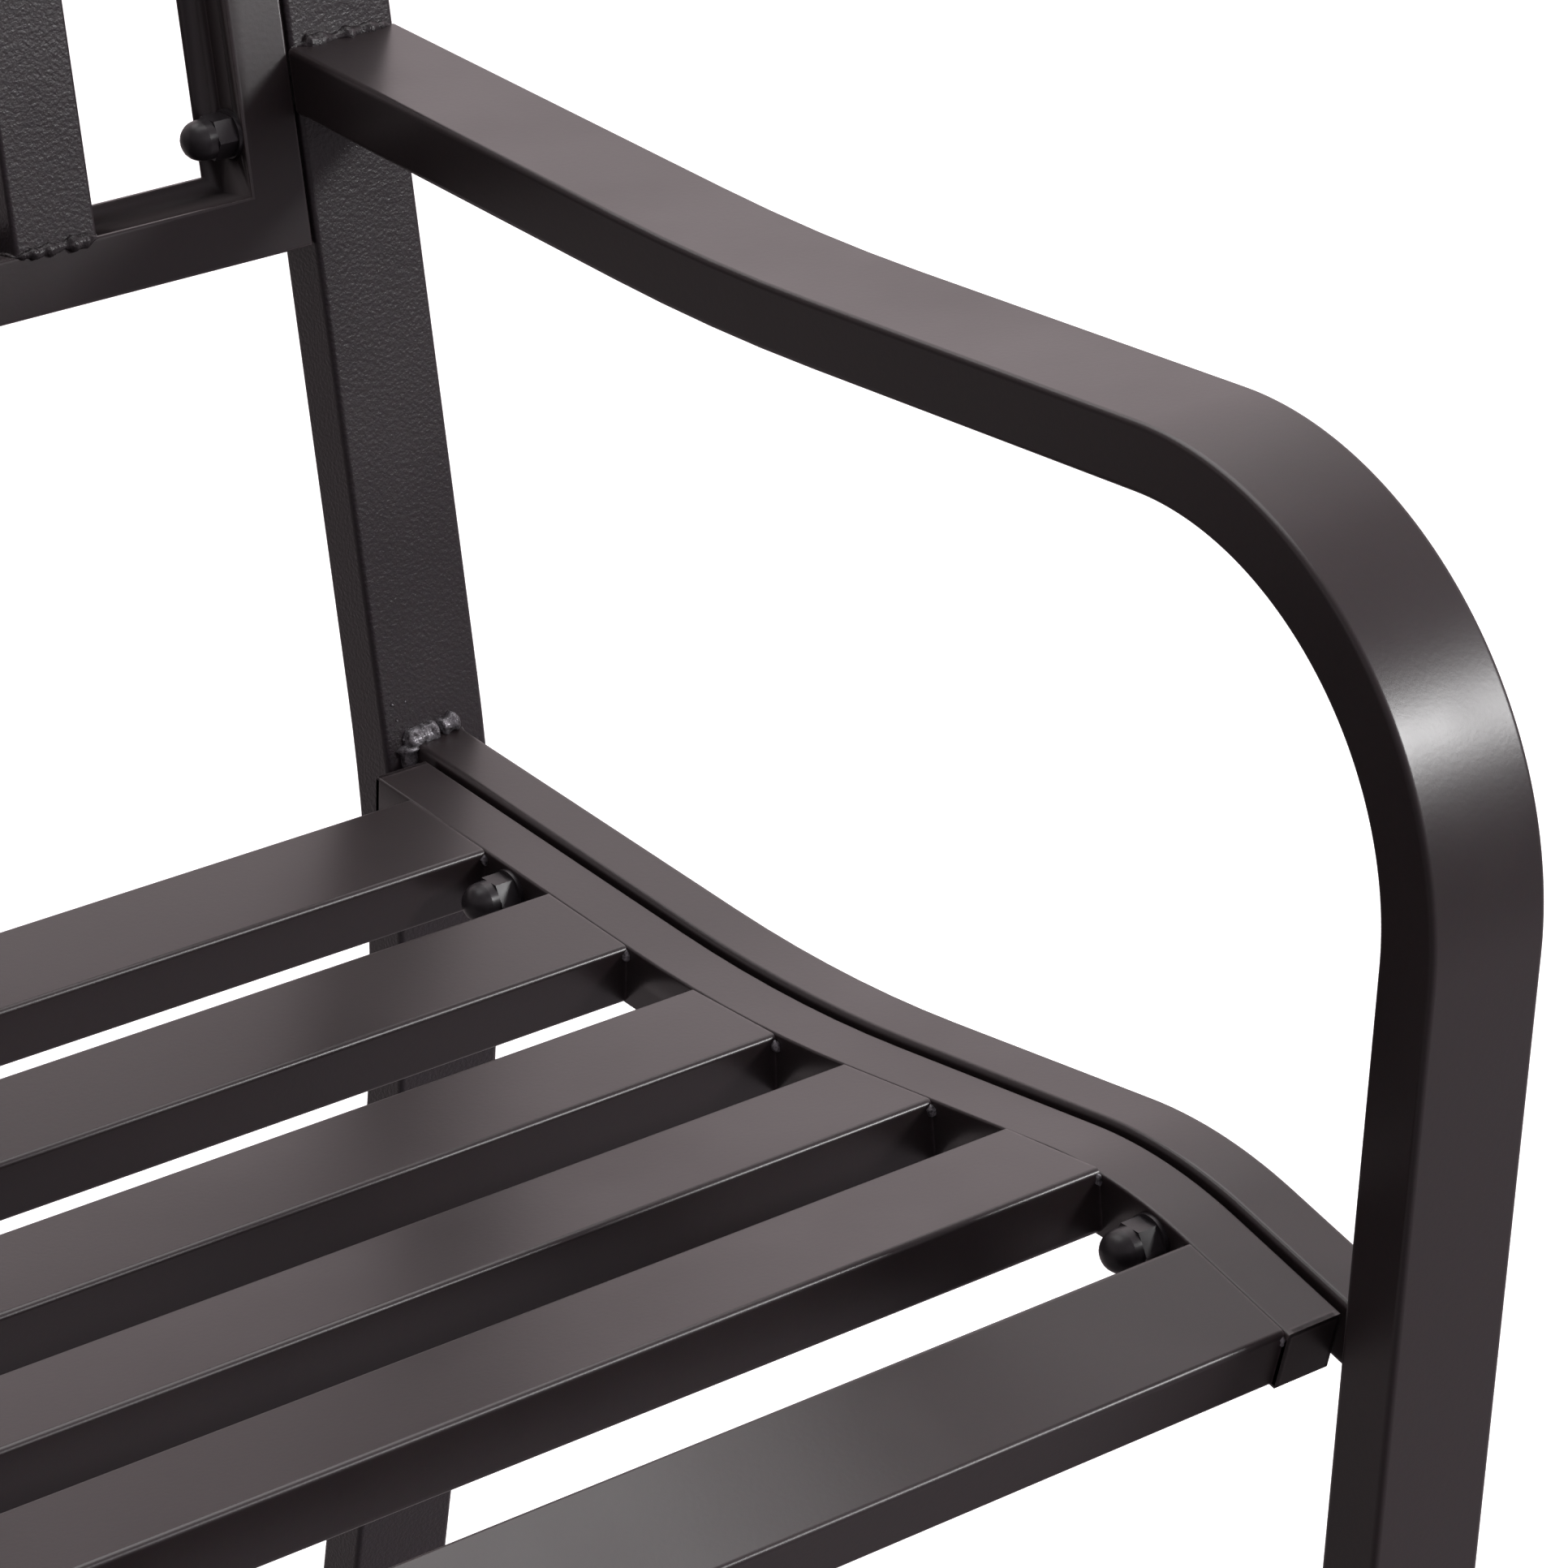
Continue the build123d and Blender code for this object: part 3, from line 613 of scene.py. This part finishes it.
def back_slat_beads():
    """Both ends of every upright slat: a bead across its face and a thin one down each side."""
    face_radius, side_radius = 2.1 * MM, 0.9 * MM
    into_panel = -post_front * back_slat_depth
    for name in back_slats:
        low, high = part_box(name)
        if low.x + high.x < 0:
            continue
        for z in (low.z + back_slat_depth * sin(lean), high.z):
            y = post_face.x + (z - post_face.y) * tan(lean)
            middle_x = (low.x + high.x) / 2
            back_y, back_z = Vector((y, z)) + into_panel
            bead([(low.x, y, z), (middle_x, y, z), (high.x, y, z)], face_radius)
            bead([(low.x, y, z), (low.x, back_y, back_z)], side_radius)
            bead([(high.x, y, z), (high.x, back_y, back_z)], side_radius)


def seat_slat_beads():
    """A tack at the top of each slat's front and rear edges, where it meets the end channel."""
    slat_path = between(rail_path, bar_rear_y, bar_front_y, bar_drop)
    tack, tack_radius, under_the_top, into_gap = 4 * MM, 1.5 * MM, 1.2 * MM, 0.5 * MM
    for name in seat_slats:
        low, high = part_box(name)
        centre = Vector(((low.y + high.y) / 2, (low.z + high.z) / 2))
        nearest = min(range(1, len(slat_path)), key=lambda i: abs(slat_path[i].x - centre.x))
        forward = (slat_path[nearest] - slat_path[nearest - 1]).normalized()
        upward = Vector((forward.y, -forward.x))
        half_width = (high.y - low.y - tube_depth * abs(forward.y)) / abs(forward.x) / 2
        for edge in (1, -1):
            top = centre + forward * edge * half_width + upward * (tube_depth / 2 - under_the_top)
            foot = top - upward * tack
            bead([(bar_low.x - into_gap, *top), (bar_low.x, *foot)], tack_radius, bare=edge > 0)


def make_beads():
    """All the weld beads of the bench: those the coat covers, and those where bare metal shows."""
    arm_beads()
    rail_beads()
    back_slat_beads()
    seat_slat_beads()
    for name, lines, radii, finish in (
            ("coated_weld_beads", coated_lines, coated_radii, coated_bead),
            ("bare_weld_beads", bare_lines, bare_radii, bare_bead)):
        wire = wire_mesh(name + "_lines", lines)
        radius = wire.data.attributes.new("bead_radius", "FLOAT", "POINT")
        radius.data.foreach_set("value", radii)
        beads = made_by(weld_bead, wire, name, {
            "Step": 0.9 * MM, "Ripple": 1 / (2.2 * MM), "Lump": 1.8 * MM, "Finish": finish})
        settled(beads, "coated_steel")


def make_spatter():
    """Drops thrown on to the posts beside the seat rail's weld."""
    from_edge, past_rail, below_rail, above_rail = 2 * MM, 1 * MM, 14 * MM, 10 * MM
    low_z, high_z = rail_high.z - below_rail, rail_high.z + above_rail
    vertices, faces = [], []
    for x_sign in (1, -1):
        inner, outer = x_sign * (post_low.x + from_edge), x_sign * (rail_low.x + past_rail)
        first = len(vertices)
        for x, z in ((inner, low_z), (outer, low_z), (outer, high_z), (inner, high_z)):
            vertices.append((x, post_face.x + (z - post_face.y) * tan(lean), z))
        faces.append(tuple(range(first, first + 4)))
    mesh = bpy.data.meshes.new("spatter_patch")
    mesh.from_pydata(vertices, [], faces)
    patch = bpy.data.objects.new("spatter_patch", mesh)
    bpy.context.scene.collection.objects.link(patch)
    drops = made_by(weld_spatter, patch, "weld_spatter", {
        "Density": 16000.0, "Smallest": 0.2 * MM, "Largest": 0.6 * MM, "Seed": 7,
        "Finish": bare_bead})
    settled(drops, "coated_steel")


def panel_frame():
    """The four members of the back panel as one welded frame, its mitres ground flush under the coat."""
    members = ["back_rail_bottom", "back_rail_top", "back_side_bar_left", "back_side_bar_right"]
    pieces = []
    for name in members:
        piece = bpy.data.objects.new("back_panel_frame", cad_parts[name].data.copy())
        bpy.context.scene.collection.objects.link(piece)
        pieces.append(piece)
    piece = joined(pieces)
    same_place, on_mitre = 0.02 * MM, 0.05 * MM
    merged = bmesh.new()
    merged.from_mesh(piece.data)
    bmesh.ops.remove_doubles(merged, verts=merged.verts, dist=same_place)
    up = Vector((0.0, *up_the_post))
    bottom_z = panel_low.z + tube_depth * sin(lean)
    inside = []
    for x_sign in (1, -1):
        for z, inward in ((bottom_z, 1), (panel_top_z, -1)):
            corner = Vector((x_sign * panel_half_width, post_face.x + (z - post_face.y) * tan(lean), z))
            across = (Vector((x_sign, 0.0, 0.0)) + up * inward).normalized()
            inside += [face for face in merged.faces
                       if all(abs((v.co - corner).dot(across)) < on_mitre for v in face.verts)]
    bmesh.ops.delete(merged, geom=list(set(inside)), context="FACES")
    merged.to_mesh(piece.data)
    merged.free()
    piece.data.set_sharp_from_angle(angle=radians(35))
    piece.data.materials.clear()
    piece.data.materials.append(satin_coat)
    settled(piece, "coated_steel", *members)


# ---- which finish each carried-over CAD node has ----
TEXTURED = ("back_slat",)
FASTENERS = ("seat_bolts", "back_bolts", "washers", "cap_nuts")
PLASTIC = ("front_foot_plug", "rear_foot_plug", "post_cap")


def finish_for(name):
    """The material that a CAD node is made of."""
    if name.startswith(FASTENERS):
        return lacquered_steel
    if name.startswith(PLASTIC):
        return black_plastic
    if name.startswith(TEXTURED):
        return textured_coat
    return satin_coat


for name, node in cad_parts.items():
    node.data.materials.clear()
    node.data.materials.append(finish_for(name))

for side, x_sign in (("right", 1), ("left", -1)):
    side_frame(side, x_sign)
panel_frame()
make_beads()
make_spatter()
for section in (arm_section, tube_section, rail_section, bar_section, flap_section):
    bpy.data.objects.remove(section)


# ---- floor, backdrop, light and camera ----
def plain_paint(name, colour, glow=0.0):
    """A plain matt paint for the studio."""
    paint = new_material(name)
    tree = paint.node_tree
    coat = add_node(tree, "ShaderNodeBsdfPrincipled", inputs={
        "Base Color": linear(colour), "Roughness": 0.95, "Specular IOR Level": 0.0,
        "Emission Color": linear("ffffff"), "Emission Strength": glow})
    output = add_node(tree, "ShaderNodeOutputMaterial")
    tree.links.new(coat.outputs["BSDF"], output.inputs["Surface"])
    return paint


def seen_only(piece, paint):
    """A stage piece that the camera sees, and that neither shades nor tints the bench."""
    bpy.context.scene.collection.objects.link(piece)
    piece.data.materials.append(paint)
    piece.visible_glossy = False
    piece.visible_diffuse = False
    piece.visible_shadow = False


def studio_floor(half=15.0):
    """A plain pale floor, far larger than the bench."""
    mesh = bpy.data.meshes.new("studio_floor")
    corners = [(-half, -half, 0), (half, -half, 0), (half, half, 0), (-half, half, 0)]
    mesh.from_pydata(corners, [], [(0, 1, 2, 3)])
    paint = plain_paint("pale_floor_paint", "fafafa", glow=0.5)
    seen_only(bpy.data.objects.new("studio_floor", mesh), paint)


def studio_backdrop(radius=16.0):
    """A pale dome behind everything."""
    bpy.ops.mesh.primitive_uv_sphere_add(segments=32, ring_count=16, radius=radius)
    dome = bpy.context.object
    dome.name = "studio_backdrop"
    bpy.context.scene.collection.objects.unlink(dome)
    seen_only(dome, plain_paint("pale_backdrop_paint", "000000", glow=1.0))


def soft_box(name, aim, toward, distance, size, power):
    """A square soft light that faces a point from one direction."""
    light = bpy.data.lights.new(name, "AREA")
    light.size = size
    light.energy = power
    lamp = bpy.data.objects.new(name, light)
    toward = Vector(toward).normalized()
    lamp.location = aim + toward * distance
    lamp.rotation_euler = (-toward).to_track_quat("-Z", "Y").to_euler()
    lamp.visible_camera = False
    bpy.context.scene.collection.objects.link(lamp)


def studio_light():
    """A dim room: brightest low above the back right of the bench, darker to the left and to the front."""
    world = bpy.data.worlds.new("studio")
    bpy.context.scene.world = world
    world.use_nodes = True
    tree = world.node_tree
    tree.nodes.clear()
    direction = add_node(tree, "ShaderNodeTexCoord").outputs["Generated"]
    parts = add_node(tree, "ShaderNodeSeparateXYZ", inputs={"Vector": direction})
    height = add_node(tree, "ShaderNodeMapRange", inputs={
        "Value": parts.outputs["Z"], "From Min": -1.0, "From Max": 1.0})
    by_height = add_node(tree, "ShaderNodeValToRGB", inputs={"Fac": height.outputs["Result"]})
    ramp = by_height.color_ramp
    # brightness from straight down, at 0, to straight up, at 1
    levels = ((0.0, 0.16), (0.25, 0.46), (0.43, 0.26), (0.55, 0.38), (0.70, 0.88), (0.84, 0.58), (1.0, 0.5))
    while len(ramp.elements) < len(levels):
        ramp.elements.new(0.5)
    for element, (place, level) in zip(ramp.elements, levels):
        element.position = place
        element.color = (level, level, level, 1.0)
    sideways = add_node(tree, "ShaderNodeMapRange", {"interpolation_type": "SMOOTHSTEP"}, {
        "Value": parts.outputs["X"], "From Min": -0.7, "From Max": 0.7, "To Min": 0.5, "To Max": 1.3})
    backward = add_node(tree, "ShaderNodeMapRange", {"interpolation_type": "SMOOTHSTEP"}, {
        "Value": parts.outputs["Y"], "From Min": -0.8, "From Max": 0.8})
    tint = add_node(tree, "ShaderNodeMix", {"data_type": "RGBA"}, {
        "Factor": backward.outputs["Result"], 6: (0.86, 0.76, 0.82, 1.0), 7: (1.25, 1.09, 1.12, 1.0)})
    tinted = add_node(tree, "ShaderNodeMix", {"data_type": "RGBA", "blend_type": "MULTIPLY"}, {
        "Factor": 1.0, 6: by_height.outputs["Color"], 7: tint.outputs[2]})
    screens = add_node(tree, "ShaderNodeTexNoise", inputs={
        "Vector": direction, "Scale": 6.0, "Detail": 1.0})
    mottled = add_node(tree, "ShaderNodeMapRange", inputs={
        "Value": screens.outputs["Fac"], "From Min": 0.35, "From Max": 0.65, "To Min": 0.65, "To Max": 1.3})
    level = add_node(tree, "ShaderNodeMath", {"operation": "MULTIPLY"}, {
        0: sideways.outputs["Result"], 1: mottled.outputs["Result"]})
    glow = add_node(tree, "ShaderNodeBackground", inputs={
        "Color": tinted.outputs[2], "Strength": level.outputs["Value"]})
    add_node(tree, "ShaderNodeOutputWorld", inputs={"Surface": glow.outputs["Background"]})
    bpy.context.scene.view_settings.view_transform = "Standard"


aim_y, aim_lift = 10 * MM, 43 * MM
aim = Vector((post_x, aim_y, seat_height + aim_lift))
studio_floor()
studio_backdrop()
studio_light()
soft_box("front_softbox", aim, toward=(0.54, -0.72, 0.40), distance=2.6, size=0.40, power=26)
soft_box("overhead_softbox", aim, toward=(0.1, 0.3, 1.0), distance=2.6, size=2.4, power=40)

azimuth, elevation, distance = radians(38.21), radians(25.15), 1.929
view_direction = Vector((sin(azimuth) * cos(elevation), cos(azimuth) * cos(elevation), -sin(elevation)))
camera_data = bpy.data.cameras.new("camera")
camera_data.lens = 145.34
camera_data.sensor_width = 36.0
camera = bpy.data.objects.new("camera", camera_data)
camera.location = aim - view_direction * distance
camera.rotation_euler = Euler((pi / 2 - elevation, 0.0, -azimuth))
bpy.context.scene.collection.objects.link(camera)
bpy.context.scene.camera = camera
